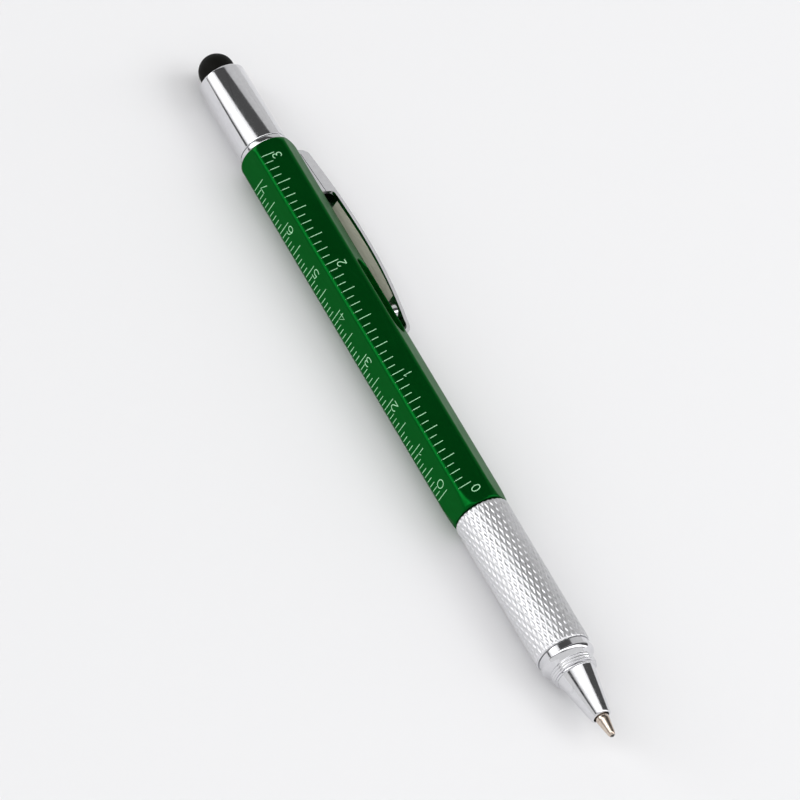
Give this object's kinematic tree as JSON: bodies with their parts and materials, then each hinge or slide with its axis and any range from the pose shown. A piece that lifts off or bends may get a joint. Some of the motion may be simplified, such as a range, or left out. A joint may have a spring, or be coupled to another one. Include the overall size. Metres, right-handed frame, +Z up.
{
  "type": "multi tool pen",
  "caption": "Hexagonal metal ballpoint with printed inch and centimetre rulers, a spirit level, a pocket clip, a twist grip and a stylus cap that covers a double ended screwdriver bit.",
  "frame": {"origin": "on the table under the middle of the pen's box, with the pen lying on one corner of the barrel and the outer edge of the clip", "axes": "+X along the pen towards the nib, +Y towards the clip's side, +Z up; the pen is rolled 10.495 degrees about +X from having the inch scale's face level"},
  "size_m": [0.1518, 0.0146, 0.0102],
  "materials": {
    "green_anodised": "dark green anodised, satin gloss, with pale printed rulers",
    "chrome": "bright chrome plate, knurled on the grip",
    "steel": "hardened tool steel",
    "black_rubber": "soft matt",
    "black_plastic": "moulded",
    "white_plastic": "moulded",
    "clear_plastic": "clear, polished",
    "level_green": "fluorescent green liquid",
    "ink_blue": "ink",
    "brass": "turned, bright"
  },
  "bodies": {
    "barrel": {"barrel": "green_anodised", "tool_holder": "chrome", "bit_magnet": "steel", "vial_holder": "black_plastic", "level_vial": "clear_plastic", "vial_liquid": "level_green", "vial_plug_cap_side": "white_plastic", "vial_plug_nib_side": "white_plastic", "vial_line_cap_side": "black_plastic", "vial_line_nib_side": "black_plastic", "cam_tube": "white_plastic", "grip_bush": "black_plastic", "friction_ring": "black_rubber"},
    "cap": {"stylus_cap": "chrome", "stylus_tip": "black_rubber"},
    "bit": {"screwdriver_bit": "steel"},
    "clip": {"clip": "chrome"},
    "grip": {"grip_sleeve": "chrome", "drive_sleeve": "brass"},
    "nose": {"nose_cone": "chrome"},
    "refill": {"refill_carrier": "white_plastic", "refill_tube": "clear_plastic", "refill_ink": "ink_blue", "refill_tip": "brass", "nib_ball": "steel"}
  },
  "joints": [
    {"name": "cap_pull", "type": "slide", "parent": "barrel", "child": "cap", "axis": [-1, 0, 0], "range_m": [0, 0.04]},
    {"name": "bit_pull", "type": "slide", "parent": "barrel", "child": "bit", "axis": [-1, 0, 0], "range_m": [0, 0.02]},
    {"name": "clip_flex", "type": "hinge", "parent": "barrel", "child": "clip", "pos_m": [-0.05185, 0.00271, 0.00347], "axis": [0, 0.3339, 0.9426], "range_deg": [0, 3], "stiffness_Nm_per_rad": 2},
    {"name": "grip_turn", "type": "hinge", "parent": "barrel", "child": "grip", "pos_m": [0, -0.00195, 0.00513], "axis": [1, 0, 0], "range_deg": [0, 180]},
    {"name": "refill_slide", "type": "slide", "parent": "grip", "child": "refill", "axis": [1, 0, 0], "range_m": [-0.005, 0]},
    {"name": "nose_pull", "type": "slide", "parent": "grip", "child": "nose", "axis": [1, 0, 0], "range_m": [0, 0.026]}
  ],
  "couplings": [
    {"joint": "bit_pull", "follows": "cap_pull", "ratio": 0.5},
    {"joint": "refill_slide", "follows": "grip_turn", "m_per_rad": -0.0015915}
  ]
}
